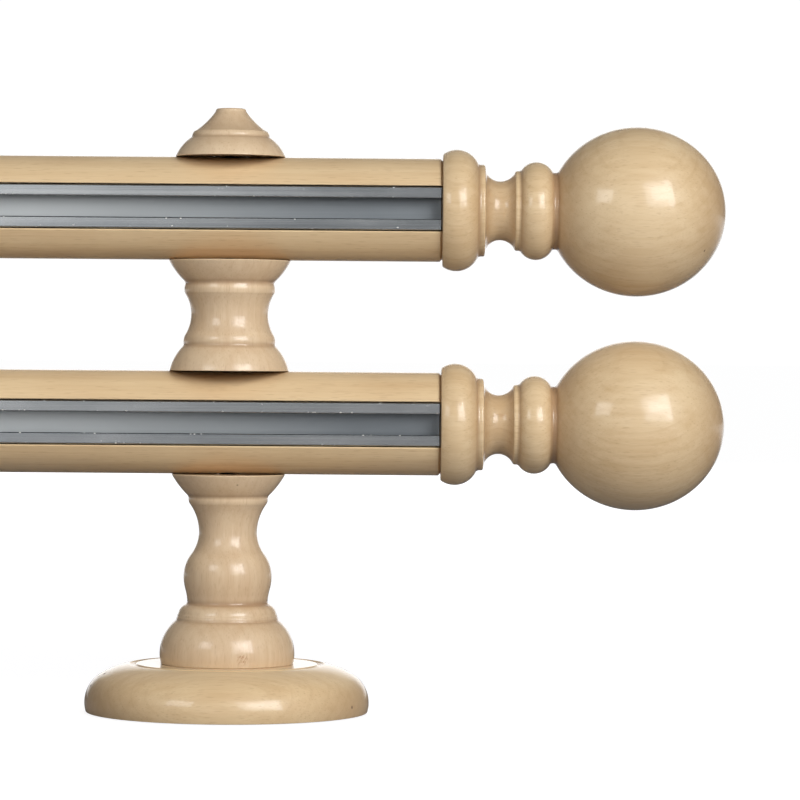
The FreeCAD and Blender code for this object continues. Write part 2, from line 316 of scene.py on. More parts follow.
@dataclass(frozen=True)
class LacqueredWood:
    """Pale close-grained wood under a cream tinted lacquer, with short flecks along the grain.

    The figure is how far the yearly rings show, and the heart is where the tree's middle lies beside
    the piece. The sizes of patterns are features per millimetre, twice across the grain and once along.
    """

    grain: Grain
    centre: Triple
    seed: float
    lacquer: Lacquer = Lacquer.HONEY
    figure: float = 0.03
    heart: Pair = (46.0, 31.0)
    marks: tuple[Mark, ...] = ()

    FLECK: ClassVar[Colour] = shade(160, 120, 84)
    # Darker brown in hollows: painted shade, together with lacquer pooled there
    POOLED_LACQUER_AND_SHADE: ClassVar[Colour] = shade(150, 112, 78)
    END_GRAIN: ClassVar[Colour] = shade(172, 134, 94)
    WORN: ClassVar[Colour] = shade(236, 214, 180)
    SPECK: ClassVar[Colour] = shade(88, 62, 44)
    SCUFF: ClassVar[Colour] = shade(150, 88, 52)
    STREAK_SIZE: ClassVar[Triple] = (0.5, 0.5, 0.012)
    FIBRE_SIZE: ClassVar[Triple] = (4.2, 4.2, 0.14)
    PATCH_SIZE: ClassVar[Triple] = (0.045, 0.045, 0.03)
    PEEL_SIZE: ClassVar[Triple] = (2.6, 2.6, 1.8)
    DASH_SIZE: ClassVar[Triple] = (1.7, 1.7, 0.24)
    CROWD_SIZE: ClassVar[Triple] = (0.09, 0.09, 0.05)
    WANDER_SIZE: ClassVar[Triple] = (0.05, 0.05, 0.012)
    SPECK_SIZE: ClassVar[Triple] = (0.075, 0.075, 0.055)
    SCUFF_SIZE: ClassVar[Triple] = (1.1, 1.1, 1.1)
    SCUFF_SLANT: ClassVar[Pair] = (1.9, 1.1)
    RING_WIDTH: ClassVar[float] = 2.6
    RING_WANDER: ClassVar[float] = 5.0

    def material(self, name: str) -> bpy.types.Material:
        """Makes the finish for one piece.

        Args:
            name: the material's name.

        Returns:
            The material.
        """
        material, graph = Graph.of_material(name)
        place = graph.placed(self.centre, self.grain)
        fibre = graph.noise(place, self.FIBRE_SIZE, self.seed + 1)
        fleck = self.flecks(graph, place)
        colour = self.tinted(graph, place, fibre, fleck)
        mark = self.specks(graph, place)
        colour = graph.blend(mark, colour, self.SPECK)
        for given in self.marks:
            shown = self.marked(graph, place, given)
            colour = graph.blend(shown, colour, self.SCUFF if given.scuffed else self.SPECK)
            mark = mark.at_least(shown)
        edge_on = graph.ramp(graph.node("ShaderNodeLayerWeight", output="Facing"), 0.75, 0.95)
        peel = graph.noise(place, self.PEEL_SIZE, self.seed + 3)
        height = peel * 1.5 + fibre * 0.4 - fleck * 0.5 - mark
        graph.surface({
            "Base Color": colour,
            "Roughness": 0.36 + fibre * 0.14 + mark * 0.3,
            "Specular IOR Level": 0.4,
            "Coat Weight": 0.6 + edge_on * 0.4 - mark * 0.9,
            "Coat Roughness": 0.11,
            "Coat IOR": 1.42,
            "Normal": graph.bump(height, 0.02, 0.5),
        })
        return material

    def tinted(self, graph: Graph, place: Value, fibre: Value, fleck: Value) -> Value:
        """The lacquer's cream and tan, the painted shade and pooled lacquer in hollows, and its wear on
        arrises.

        Args:
            graph: the finish's graph.
            place: coordinates with the grain along Z.
            fibre: the noise of the fibres.
            fleck: where the flecks lie.

        Returns:
            The colour without marks.
        """
        streak = graph.noise(place, self.STREAK_SIZE, self.seed, 3.0)
        patch = graph.noise(place, self.PATCH_SIZE, self.seed + 2)
        late = self.late_wood(graph, place)
        tan = graph.ramp(streak * 0.6 + late * 0.06 + patch * 0.6, 0.33, 0.95)
        colour = graph.blend(tan, *self.lacquer.value)
        layers = (
            (self.end_grain(graph) * 0.5, self.END_GRAIN),
            (graph.ramp(fibre, 0.5, 0.8) * 0.2, self.FLECK),
            (fleck * 0.21, self.FLECK),
            (late * graph.ramp(patch, 0.42, 0.6) * self.figure, self.FLECK),
            # Hollows darken: painted shade, together with pooled lacquer
            (graph.attribute("hollow") * (0.45 + patch * 0.6), self.POOLED_LACQUER_AND_SHADE),
            (graph.attribute("worn") * 0.12, self.WORN),
        )
        for cover, tint in layers:
            colour = graph.blend(cover, colour, tint)
        return colour

    def flecks(self, graph: Graph, place: Value) -> Value:
        """Short dark dashes along the grain, thicker in some patches than in others.

        Args:
            graph: the finish's graph.
            place: coordinates with the grain along Z.

        Returns:
            Where the dashes lie, from 0 to 1.
        """
        dash = graph.cells(place, self.DASH_SIZE, self.seed + 4)
        chosen = graph.part(dash.sibling("Color"), "X")
        crowd = graph.noise(place, self.CROWD_SIZE, self.seed + 5)
        return graph.ramp(dash, 0.4, 0.14) * graph.ramp(chosen + crowd, 0.8, 1.3)

    def end_grain(self, graph: Graph) -> Value:
        """How far the surface faces along the grain, where the cut ends of the fibres drink more stain.

        Args:
            graph: the finish's graph.

        Returns:
            From 0 beside the fibres to 1 across them.
        """
        along = Euler(self.grain.value).to_matrix().inverted() @ Vector((0.0, 0.0, 1.0))
        facing = graph.node("ShaderNodeVectorMath", {"operation": "DOT_PRODUCT"},
                            {0: graph.node("ShaderNodeTexCoord", output="Normal"), 1: along}, "Value")
        return graph.ramp(abs(facing), 0.45, 1.05)

    def late_wood(self, graph: Graph, place: Value) -> Value:
        """The dark edge of each yearly ring round the tree's heart, which lies beside the piece.

        Args:
            graph: the finish's graph.
            place: coordinates with the grain along Z.

        Returns:
            Where the rings are dark, from 0 to 1.
        """
        wander = graph.noise(place, self.WANDER_SIZE, self.seed + 6) * self.RING_WANDER
        across = graph.part(place, "X") - self.heart[0]
        up = graph.part(place, "Y") - self.heart[1]
        rings = ((across * across + up * up) ** 0.5 + wander) / self.RING_WIDTH
        phase = rings.fraction()
        return graph.ramp(phase, 0.7, 0.93) * graph.ramp(phase, 1.0, 0.95)

    def specks(self, graph: Graph, place: Value) -> Value:
        """A few dark pin marks under the lacquer.

        Args:
            graph: the finish's graph.
            place: coordinates with the grain along Z.

        Returns:
            Where the marks lie, from 0 to 1.
        """
        dot = graph.cells(place, self.SPECK_SIZE, self.seed + 7)
        chosen = graph.part(dot.sibling("Color"), "Y")
        return graph.ramp(dot, 0.03, 0.012) * graph.ramp(chosen, 0.6, 0.65) * 0.6

    def marked(self, graph: Graph, place: Value, mark: Mark) -> Value:
        """One mark at its own place.

        Args:
            graph: the finish's graph.
            place: coordinates with the grain along Z.
            mark: the mark.

        Returns:
            Where it lies, from 0 to its strength.
        """
        spot = Euler(self.grain.value).to_matrix() @ Vector(mark.place)
        away = graph.node("ShaderNodeVectorMath", {"operation": "DISTANCE"}, {0: place, 1: spot}, "Value")
        shown = graph.ramp(away, mark.radius, mark.radius * 0.3) * mark.strength
        if mark.scuffed:
            across, along = self.SCUFF_SLANT
            slant = graph.part(place, "X") * across - graph.part(place, "Z") * along
            strokes = graph.node("ShaderNodeTexNoise", {"noise_dimensions": "1D"},
                                 {"W": slant, "Scale": 1.0}, "Fac")
            ragged = graph.noise(place, self.SCUFF_SIZE, self.seed + 8)
            shown = shown * graph.ramp(strokes * 0.7 + ragged * 1.2, 0.8, 1.2)
        return shown


@dataclass(frozen=True)
class ExtrudedAluminium:
    """Satin extruded aluminium: drawing lines, smudges, crumbs on its edges, and inside its slot a painted
    shade that darkens towards its ends.
    """

    centre: Triple
    half_width: float
    half_length: float
    seed: float

    LIGHT: ClassVar[Colour] = shade(207, 210, 211)
    DARK: ClassVar[Colour] = shade(169, 174, 178)
    INSIDE: ClassVar[Colour] = shade(196, 200, 201)
    # Painted shade: the darker tone that the inside of the slot takes towards each end of the track
    INSIDE_END: ClassVar[Colour] = shade(122, 128, 133)
    CRUMB: ClassVar[Colour] = shade(228, 225, 215)
    LINE_SIZE: ClassVar[Triple] = (7.0, 7.0, 0.006)
    BROAD_SIZE: ClassVar[Triple] = (0.6, 0.6, 0.004)
    SMUDGE_SIZE: ClassVar[Triple] = (0.12, 0.12, 0.035)
    CRUMB_SIZE: ClassVar[Triple] = (1.5, 1.5, 1.0)
    LIP: ClassVar[float] = 1.2
    SLOT_HALF: ClassVar[float] = 2.8
    EDGE: ClassVar[float] = 0.2
    # Where along the track the painted shade at the ends starts and is full, as shares of its half length
    END_BAND: ClassVar[Pair] = (0.76, 0.97)

    def material(self, name: str) -> bpy.types.Material:
        """Makes the finish for one track.

        Args:
            name: the material's name.

        Returns:
            The material.
        """
        material, graph = Graph.of_material(name)
        place = graph.placed(self.centre, Grain.ALONG_POLE)
        lines = graph.noise(place, self.LINE_SIZE, self.seed, 3.0)
        broad = graph.noise(place, self.BROAD_SIZE, self.seed + 1)
        smudge = graph.noise(place, self.SMUDGE_SIZE, self.seed + 2, 4.0)
        crumb = self.crumbs(graph, place)
        inside = graph.ramp(graph.part(place, "Y"), self.LIP - self.EDGE, self.LIP + self.EDGE)
        tone = graph.ramp(lines * 0.5 + broad * 0.4 + smudge * 0.5, 0.45, 0.95)
        colour = graph.blend(tone, self.DARK, self.LIGHT)
        # Painted shade: inside the slot the colour darkens towards each end of the track
        end_shade_span = [self.half_length * share for share in self.END_BAND]
        end = graph.ramp(abs(graph.part(place, "Z")), *end_shade_span)
        colour = graph.blend(inside * 0.85, colour, graph.blend(end, self.INSIDE, self.INSIDE_END))
        graph.surface({
            "Base Color": graph.blend(crumb, colour, self.CRUMB),
            "Metallic": 1.0 - crumb * 0.9,
            "Roughness": 0.12 + lines * 0.08 + smudge * 0.1 + inside * 0.18 + crumb * 0.3,
            "Normal": graph.bump(lines + crumb * 0.8, 0.006, 0.4),
        })
        return material

    def crumbs(self, graph: Graph, place: Value) -> Value:
        """Specks of lacquer caught along the track's outer edges and along its slot.

        Args:
            graph: the finish's graph.
            place: coordinates with the track along Z.

        Returns:
            Where the specks lie, from 0 to 1.
        """
        speck = graph.cells(place, self.CRUMB_SIZE, self.seed + 3)
        chosen = graph.part(speck.sibling("Color"), "X")
        aside = abs(graph.part(place, "X"))
        outer = graph.ramp(aside, self.half_width - 1.0, self.half_width - 0.5)
        inner = graph.ramp(abs(aside - self.SLOT_HALF - self.EDGE), 0.5, 0.2)
        inner = inner * graph.ramp(graph.part(place, "Y"), 0.5, 0.2)
        return graph.ramp(speck, 0.36, 0.14) * graph.ramp(chosen, 0.84, 1.0) * outer.at_least(inner)


@dataclass(frozen=True)
class TurnedMetal:
    """Plain turned metal with faint tool rings, for the rods, screws, sleeves and inserts."""

    bright: Colour
    dull: Colour
    roughness: float
    grain: Grain
    seed: float

    RING_SIZE: ClassVar[Triple] = (0.3, 0.3, 6.0)
    STAIN_SIZE: ClassVar[Triple] = (0.25, 0.25, 0.25)

    def material(self, name: str) -> bpy.types.Material:
        """Makes the finish for one piece.

        Args:
            name: the material's name.

        Returns:
            The material.
        """
        material, graph = Graph.of_material(name)
        place = graph.placed((0.0, 0.0, 0.0), self.grain)
        rings = graph.noise(place, self.RING_SIZE, self.seed)
        stain = graph.noise(place, self.STAIN_SIZE, self.seed + 1, 4.0)
        graph.surface({
            "Base Color": graph.blend(graph.ramp(stain, 0.35, 0.75), self.bright, self.dull),
            "Metallic": 1.0,
            "Roughness": self.roughness + rings * 0.1 + stain * 0.12,
            "Normal": graph.bump(rings, 0.01, 0.4),
        })
        return material


# Brass of the sleeves and inserts, dull and darkened as painted shade, so that an insert's edge seen in the
# gap under a cap stays dark
BRASS = (shade(150, 120, 70), shade(104, 80, 46), 0.45)
ZINC_STEEL = (shade(168, 170, 173), shade(118, 120, 124), 0.4)
# Steel of the rods, darkened as painted shade, so that a rod seen through the gap between a pole and a rim
# stays dark
SHADE_DARKENED_STEEL = (shade(58, 54, 52), shade(36, 33, 32), 0.5)

Finish = LacqueredWood | ExtrudedAluminium | TurnedMetal


@dataclass(frozen=True)
class Axis:
    """The axis that a piece is turned about: a point on it, and three directions at right angles."""

    origin: np.ndarray
    along: np.ndarray
    across: np.ndarray
    up: np.ndarray

    @classmethod
    def from_wall(cls, x: float, z: float) -> "Axis":
        """An axis at right angles to the wall, through (x, 0, z)."""
        return cls(np.array([x, 0.0, z]), *np.eye(3)[[2, 0, 1]])

    @classmethod
    def along_pole(cls, x: float, z: float, side: Side) -> "Axis":
        """An axis along a pole, from (x, 0, z) out towards one side."""
        along = np.array([side.value, 0.0, 0.0])
        across = np.array([0.0, 1.0, 0.0])
        return cls(np.array([x, 0.0, z]), along, across, np.cross(along, across))


@dataclass(frozen=True)
class Moulding:
    """One turned moulding: the radius where it starts, its length, and its bulge, negative in a hollow."""

    radius: float
    length: float
    bulge: float


class Outline:
    """Half outline of a turned piece, drawn with the wood on its left as (radius, height) points.

    Each run of points is a row of radius, height, the two parts of the direction of travel, and the
    depth of a thread cut there. A closed outline ends where it starts; an open one ends on the axis.
    """

    CHORD: ClassVar[float] = 0.45
    TURN: ClassVar[float] = math.radians(5)
    SHARP: ClassVar[float] = math.radians(9)
    FILLET_POINTS: ClassVar[int] = 6
    EASED_SHARE: ClassVar[float] = 0.4
    THREAD_ROWS: ClassVar[int] = 8
    SAME_POINT: ClassVar[float] = 1e-6
    SAME_LENGTH: ClassVar[float] = 1e-9

    def __init__(self, radius: float, height: float = 0.0) -> None:
        """Starts the outline at a point."""
        self.start = np.array([radius, height])
        self.end = self.start
        self.runs: list[np.ndarray] = []
        self.pitch = 1.0

    def add(self, points: np.ndarray, headings: np.ndarray, thread: np.ndarray | None = None) -> None:
        """Adds a run of points.

        Args:
            points: radius and height of each point.
            headings: the direction of travel at each.
            thread: the depth of thread at each, if there is one.
        """
        depth = np.zeros(len(points)) if thread is None else thread
        self.runs.append(np.column_stack([points, headings, depth]))
        self.end = points[-1]

    def line(self, radius: float, height: float) -> None:
        """A straight line to a point."""
        target = np.array([radius, height])
        heading = (target - self.end) / np.linalg.norm(target - self.end)
        self.add(np.array([self.end, target]), np.array([heading, heading]))

    def thread(self, height: float, pitch: float, depth: float) -> None:
        """A line along the axis with a thread in it, which runs out within a turn of each end.

        Args:
            height: where the line ends.
            pitch: the distance from one crest to the next.
            depth: how far the thread reaches in from the line.
        """
        start = self.end[1]
        count = math.ceil(abs(height - start) / pitch * self.THREAD_ROWS) + 1
        level = np.linspace(start, height, count)
        runout = np.clip(np.minimum(abs(level - start), abs(level - height)) / pitch, 0, 1)
        points = np.column_stack([np.full(count, self.end[0]), level])
        headings = np.tile([0.0, np.sign(height - start)], (count, 1))
        self.pitch = pitch
        self.add(points, headings, depth * runout)

    def arc(self, radius: float, height: float, bulge: float) -> None:
        """An arc whose middle stands outside its chord by the bulge, or inside where it is negative.

        Half the sweep is twice the angle whose tangent is the bulge over half the chord.

        Args:
            radius: the end's radius.
            height: the end's height.
            bulge: the height of the arc over its chord.
        """
        target = np.array([radius, height])
        chord = target - self.end
        length = np.linalg.norm(chord)
        ahead = chord / length
        outward = np.array([ahead[1], -ahead[0]])
        half = 2 * math.atan2(2 * bulge, length)
        reach = length / 2 / math.sin(half)
        count = 2 + math.ceil(abs(2 * half) * max(abs(reach) / self.CHORD, 1 / self.TURN))
        angle = np.linspace(-half, half, count)[:, None]
        centre = (self.end + target) / 2 - outward * reach * math.cos(half)
        points = centre + reach * (np.sin(angle) * ahead + np.cos(angle) * outward)
        self.add(points, np.cos(angle) * ahead - np.sin(angle) * outward)

    def mouldings(self, row: tuple[Moulding, ...], last_radius: float) -> None:
        """Arcs over a row of mouldings, each up to the radius where the next one starts.

        Args:
            row: the mouldings, of which the first starts where the outline ends now.
            last_radius: the radius where the last one ends.
        """
        ends = [moulding.radius for moulding in row[1:]] + [last_radius]
        for moulding, radius in zip(row, ends):
            self.arc(radius, self.height + moulding.length, moulding.bulge)

    def smooth_arc(self, radius: float, height: float) -> None:
        """An arc that carries on in the direction of the run before it."""
        chord = np.array([radius, height]) - self.end
        length = np.linalg.norm(chord)
        outward = np.array([chord[1], -chord[0]]) / length
        away = float(self.runs[-1][-1, 2:4] @ outward)
        self.arc(radius, height, length / 2 * math.tan(math.asin(away) / 2))

    def arriving_arc(self, radius: float, height: float) -> None:
        """An arc that arrives along the axis."""
        chord = np.array([radius, height]) - self.end
        length = np.linalg.norm(chord)
        self.arc(radius, height, length / 2 * math.tan(math.asin(chord[0] / length) / 2))

    def ogee(self, radius: float, height: float) -> None:
        """Two equal arcs that leave and arrive along the axis and meet halfway."""
        start, rise = self.end, np.array([radius, height]) - self.end
        half_chord = np.linalg.norm(rise) / 2
        reach = half_chord**2 / abs(rise[0])
        sagitta = reach - math.sqrt(reach**2 - half_chord**2 / 4)
        bulge = math.copysign(sagitta, -rise[0])
        self.arc(*(start + rise / 2), bulge)
        self.arc(radius, height, -bulge)

    def ball(self, radius: float, half_length: float) -> None:
        """An ellipse that starts at the outline's end and closes on the axis.

        Args:
            radius: its half width across the axis.
            half_length: its half length along the axis.
        """
        first = -math.acos(self.end[0] / radius)
        middle = self.end[1] - half_length * math.sin(first)
        angle = np.linspace(first, math.pi / 2, math.ceil((math.pi / 2 - first) * radius / self.CHORD))
        points = np.column_stack([radius * np.cos(angle), middle + half_length * np.sin(angle)])
        headings = np.column_stack([-radius * np.sin(angle), half_length * np.cos(angle)])
        points[-1, 0] = 0.0
        self.add(points, headings / np.linalg.norm(headings, axis=1)[:, None])

    @property
    def height(self) -> float:
        """The height where the outline ends now."""
        return float(self.end[1])

    @property
    def closed(self) -> bool:
        """Whether the outline ends where it starts."""
        return bool(np.allclose(self.start, self.end))

    def softened(self, arris: float, hollow: float) -> np.ndarray:
        """The whole outline with each sharp corner eased by a small curve.

        The curve is the quadratic one that leaves along one run and arrives along the next.

        Args:
            arris: the radius that eases a corner which stands out.
            hollow: the radius that eases a corner which lies in.

        Returns:
            The runs, joined into one array.
        """
        count = len(self.runs)
        length = [float(np.linalg.norm(np.diff(run[:, :2], axis=0), axis=1).sum()) for run in self.runs]
        trim = np.zeros((count, 2))
        for place in range(count if self.closed else count - 1):
            after = (place + 1) % count
            leaving, arriving = self.runs[place][-1, 2:4], self.runs[after][0, 2:4]
            turn = math.acos(float(np.clip(leaving @ arriving, -1, 1)))
            stands_out = leaving[0] * arriving[1] > leaving[1] * arriving[0]
            if turn > self.SHARP:
                room = self.EASED_SHARE * min(length[place], length[after])
                reach = (arris if stands_out else hollow) * math.tan(turn / 2)
                trim[place, 1] = trim[after, 0] = min(reach, room)
        eased = [self.shortened(run, *ends) for run, ends in zip(self.runs, trim)]
        rows = []
        for place, run in enumerate(eased):
            rows.append(run)
            if trim[place, 1] > 0:
                corner = self.runs[place][-1, :2]
                rows.append(self.eased_corner(run[-1, :2], corner, eased[(place + 1) % count][0, :2]))
        joined = np.concatenate(rows)
        step = np.linalg.norm(np.diff(joined[:, :2], axis=0), axis=1)
        joined = joined[np.concatenate([[True], step > self.SAME_POINT])]
        if self.closed and np.allclose(joined[0, :2], joined[-1, :2]):
            joined = joined[:-1]
        return joined

    @classmethod
    def shortened(cls, run: np.ndarray, from_start: float, from_end: float) -> np.ndarray:
        """A run with a length taken off each end.

        Args:
            run: the run's rows.
            from_start: the length taken off its start.
            from_end: the length taken off its end.

        Returns:
            The shorter run.
        """
        step = np.linalg.norm(np.diff(run[:, :2], axis=0), axis=1)
        travel = np.concatenate([[0.0], np.cumsum(step)])
        first, last = from_start, travel[-1] - from_end
        inside = travel[(travel > first + cls.SAME_LENGTH) & (travel < last - cls.SAME_LENGTH)]
        kept = np.concatenate([[first], inside, [last]])
        return np.column_stack([np.interp(kept, travel, column) for column in run.T])

    @classmethod
    def eased_corner(cls, leave: np.ndarray, corner: np.ndarray, arrive: np.ndarray) -> np.ndarray:
        """The points between the ends of the curve that eases a corner.

        Args:
            leave: where the curve starts.
            corner: the corner.
            arrive: where the curve ends.

        Returns:
            The rows of the curve.
        """
        t = np.linspace(0, 1, cls.FILLET_POINTS + 2)[1:-1, None]
        points = (1 - t) ** 2 * leave + 2 * t * (1 - t) * corner + t**2 * arrive
        headings = (1 - t) * (corner - leave) + t * (arrive - corner)
        headings /= np.linalg.norm(headings, axis=1)[:, None]
        return np.column_stack([points, headings, np.zeros(len(t))])


@dataclass
class Skin:
    """A closed surface: points in metres, faces, exact normals, and how hollow or worn each point is."""

    points: np.ndarray
    faces: list[list[int]]
    normals: np.ndarray | None
    hollow: np.ndarray
    worn: np.ndarray

    def piece(self, name: str) -> bpy.types.Object:
        """Makes the surface an object at the origin.

        Args:
            name: the object's name.

        Returns:
            The object.
        """
        mesh = bpy.data.meshes.new(name)
        mesh.from_pydata(self.points, [], self.faces)
        mesh.polygons.foreach_set("use_smooth", np.ones(len(mesh.polygons), bool))
        for label, values in (("hollow", self.hollow), ("worn", self.worn)):
            mesh.attributes.new(label, "FLOAT", "POINT").data.foreach_set("value", values)
        if self.normals is not None:
            mesh.normals_split_custom_set_from_vertices(self.normals)
        mesh.update()
        made = bpy.data.objects.new(name, mesh)
        bpy.context.scene.collection.objects.link(made)
        return made


def bends(rows: np.ndarray, blur: float) -> np.ndarray:
    """How sharply an outline bends about each point, outwards where positive, in radians per millimetre.

    It is the change of heading over the length travelled, averaged with a bell curve.

    Args:
        rows: the outline's rows.
        blur: the bell curve's width.

    Returns:
        The bend at each point.
    """
    step = np.linalg.norm(np.diff(rows[:, :2], axis=0), axis=1)
    travel = np.concatenate([[0.0], np.cumsum(step)])
    heading = np.unwrap(np.arctan2(rows[:, 3], rows[:, 2]))
    middle = (travel[1:] + travel[:-1]) / 2
    weight = np.exp(-(((travel[:, None] - middle[None, :]) / blur) ** 2) / 2)
    return weight @ np.diff(heading) / (blur * math.sqrt(2 * math.pi))


# A thread's flat crest and its flank, as shares of half a pitch
THREAD_CREST = 0.15
THREAD_FLANK = 0.7
# The width over which bends are averaged, the bend at which the painted shade and pooled lacquer of hollows
# are full, and those where wear starts and grows
BEND_BLUR = 0.6
FULL_POOL_AND_SHADE = 0.8
WEAR_START = 0.35
WEAR_GROWTH = 0.8


def turned(outline: Outline, axis: Axis, segments: int, arris: float, hollow: float) -> Skin:
    """Carries an outline round an axis.

    A point at radius r and height h comes to origin + h along + r (across cos a + up sin a). Where
    the outline has a thread, r is less by its depth times a flat-topped wave of h / pitch - a / turn.

    Args:
        outline: the half outline.
        axis: the axis.
        segments: how many steps make a full turn.
        arris: the radius that eases corners which stand out.
        hollow: the radius that eases corners which lie in.

    Returns:
        The closed surface.
    """
    rows = outline.softened(arris, hollow)
    angle = np.linspace(0, 2 * math.pi, segments, endpoint=False)
    radial = np.cos(angle)[:, None] * axis.across + np.sin(angle)[:, None] * axis.up
    level = rows[:, 1] + axis.origin @ axis.along
    phase = (level[:, None] / outline.pitch - angle[None, :] / (2 * math.pi)) % 1
    wave = np.clip((np.abs(2 * phase - 1) - THREAD_CREST) / THREAD_FLANK, 0, 1)
    radius = rows[:, 0, None] - rows[:, 4, None] * wave
    points = axis.origin + rows[:, 1, None, None] * axis.along + radius[..., None] * radial
    normals = rows[:, 3, None, None] * radial - rows[:, 2, None, None] * axis.along
    bend = bends(rows, BEND_BLUR)
    # How far each point lies in a hollow, which the wood darkens as painted shade together with pooled
    # lacquer
    pooled_and_shaded = np.repeat(np.clip(-bend / FULL_POOL_AND_SHADE, 0, 1), segments)
    worn = np.repeat(np.clip((bend - WEAR_START) / WEAR_GROWTH, 0, 1), segments)
    index = np.arange(len(rows) * segments).reshape(len(rows), segments)
    on_axis = rows[:, 0] < Outline.SAME_POINT
    index[on_axis] = index[on_axis, :1]
    if outline.closed:
        index = np.concatenate([index, index[:1]])
    after = np.roll(index, -1, axis=1)
    quads = np.stack([index[:-1], after[:-1], after[1:], index[1:]], axis=-1).reshape(-1, 4)
    used, compact = np.unique(quads, return_inverse=True)
    faces = [list(dict.fromkeys(quad)) for quad in compact.reshape(-1, 4).tolist()]
    exact = None if rows[:, 4].any() else normals.reshape(-1, 3)[used]
    return Skin(points.reshape(-1, 3)[used] * MM, faces, exact, pooled_and_shaded[used], worn[used])


def span(node: str, axis: str) -> Pair:
    """A node's lowest and highest place along an axis of the frame, in millimetres."""
    low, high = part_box(node)
    return getattr(low, axis) / MM, getattr(high, axis) / MM


def middle(node: str) -> Triple:
    """The middle of a node's box, in millimetres."""
    return tuple(sum(span(node, axis)) / 2 for axis in "xyz")


@dataclass(frozen=True)
class RodFit:
    """Sizes that the rods, sleeves, inserts and the holes around them share."""

    rod_radius: float = 2.95
    rod_hole: float = 3.25
    thread_radius: float = 3.0
    sleeve_radius: float = 4.5
    sleeve_hole: float = 4.6
    pitch: float = 1.0
    depth: float = 0.5
    chamfer: float = 0.4


FIT = RodFit()


@dataclass
class TurnedPiece:
    """A piece with one turning axis, which takes the place of a node of the frame."""

    node: str
    axis: Axis

    SLOT: ClassVar[str] = "lacquered_wood"
    SEGMENTS: ClassVar[int] = 112
    ARRIS: ClassVar[float] = 0.25
    HOLLOW: ClassVar[float] = 1.0

    def outline(self) -> Outline:
        """The piece's half outline, from the axis's origin."""
        raise NotImplementedError

    def build(self) -> bpy.types.Object:
        """Makes the mesh and sets it in the frame.

        Returns:
            The new piece.
        """
        skin = turned(self.outline(), self.axis, self.SEGMENTS, self.ARRIS, self.HOLLOW)
        piece = skin.piece(f"{self.node}_turned")
        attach(piece, BODY)
        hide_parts(self.node)
        LOG.info("%s: %d points, %d faces", piece.name, len(skin.points), len(skin.faces))
        return piece

    def dress(self, piece: bpy.types.Object, finish: Finish) -> None:
        """Gives the piece its finish."""
        piece.data.materials.append(finish.material(f"{self.node}_finish"))


@dataclass
class WallRose(TurnedPiece):
    """Round-edged disc with a fine ring turned round the seat of the standoff."""

    disc_radius: float = 24.5
    ring_width: float = 2.1
    ring_depth: float = 0.5
    border: float = 12.0
    edge_round: float = 8.9
    belly_height: float = 2.5
    edge_sweep: float = math.radians(60)
    slope_rise: float = 2.75
    disc_rise: float = 0.05

    SEGMENTS: ClassVar[int] = 144

    def outline(self) -> Outline:
        """Rounded edge, slope, ring and disc, then the sleeve's hole and the flat back."""
        ring_radius = self.disc_radius + self.ring_width
        edge_centre = ring_radius + self.border - self.edge_round
        base = -math.asin(self.belly_height / self.edge_round)
        shoulder = self.belly_height + self.edge_round * math.sin(self.edge_sweep)
        top = shoulder + self.slope_rise + self.disc_rise
        bulge = self.edge_round * (1 - math.cos((self.edge_sweep - base) / 2))
        line = Outline(edge_centre + self.edge_round * math.cos(base))
        line.arc(edge_centre + self.edge_round * math.cos(self.edge_sweep), shoulder, bulge)
        line.smooth_arc(ring_radius, shoulder + self.slope_rise)
        line.arc(self.disc_radius, top, -self.ring_depth)
        line.line(FIT.sleeve_hole, top)
        line.line(FIT.sleeve_hole, 0)
        line.line(*line.start)
        return line


@dataclass
class Standoff(TurnedPiece):
    """Baluster: round foot, two fine beads, shoulder, bulb, waist, bead and bell."""

    sleeve_depth: float = 0.0
    foot: Moulding = Moulding(18.0, 12.0, 1.85)
    low_bead: Moulding = Moulding(13.75, 0.8, 0.13)
    high_bead: Moulding = Moulding(13.525, 0.8, 0.13)
    shoulder: Moulding = Moulding(13.3, 2.7, 0.55)
    neck_radius: float = 10.9
    neck_to_bulb: float = 7.5
    bulb_radius: float = 11.95
    bulb_to_waist: float = 12.0
    waist: Moulding = Moulding(7.9, 7.4, -0.6)
    top_bead: Moulding = Moulding(10.3, 2.2, 0.25)
    bell: Moulding = Moulding(10.75, 6.1, 0.3)
    rim_radius: float = 15.5

    def outline(self) -> Outline:
        """The mouldings from the foot to the rim, then the rod's hole and the sleeve's seat."""
        line = Outline(self.foot.radius)
        line.mouldings((self.foot, self.low_bead, self.high_bead, self.shoulder), self.neck_radius)
        line.ogee(self.bulb_radius, line.height + self.neck_to_bulb)
        line.ogee(self.waist.radius, line.height + self.bulb_to_waist)
        line.mouldings((self.waist, self.top_bead, self.bell), self.rim_radius)
        line.line(FIT.rod_hole, line.height)
        line.line(FIT.rod_hole, self.sleeve_depth)
        line.line(FIT.sleeve_hole, self.sleeve_depth)
        line.line(FIT.sleeve_hole, 0)
        line.line(*line.start)
        return line


@dataclass
class Spacer(TurnedPiece):
    """Waisted turning between the poles, with a bead above and below its waist."""

    base: Moulding = Moulding(16.25, 7.0, 0.6)
    low_bead: Moulding = Moulding(12.35, 2.8, 0.28)
    waist: Moulding = Moulding(12.05, 11.3, -1.65)
    high_bead: Moulding = Moulding(12.2, 2.8, 0.28)
    bell: Moulding = Moulding(11.9, 6.1, 0.39)
    rim_radius: float = 16.6

    def outline(self) -> Outline:
        """The mouldings from base to rim, then the rod's hole."""
        line = Outline(self.base.radius)
        line.mouldings((self.base, self.low_bead, self.waist, self.high_bead, self.bell), self.rim_radius)
        line.line(FIT.rod_hole, line.height)
        line.line(FIT.rod_hole, 0)
        line.line(*line.start)
        return line


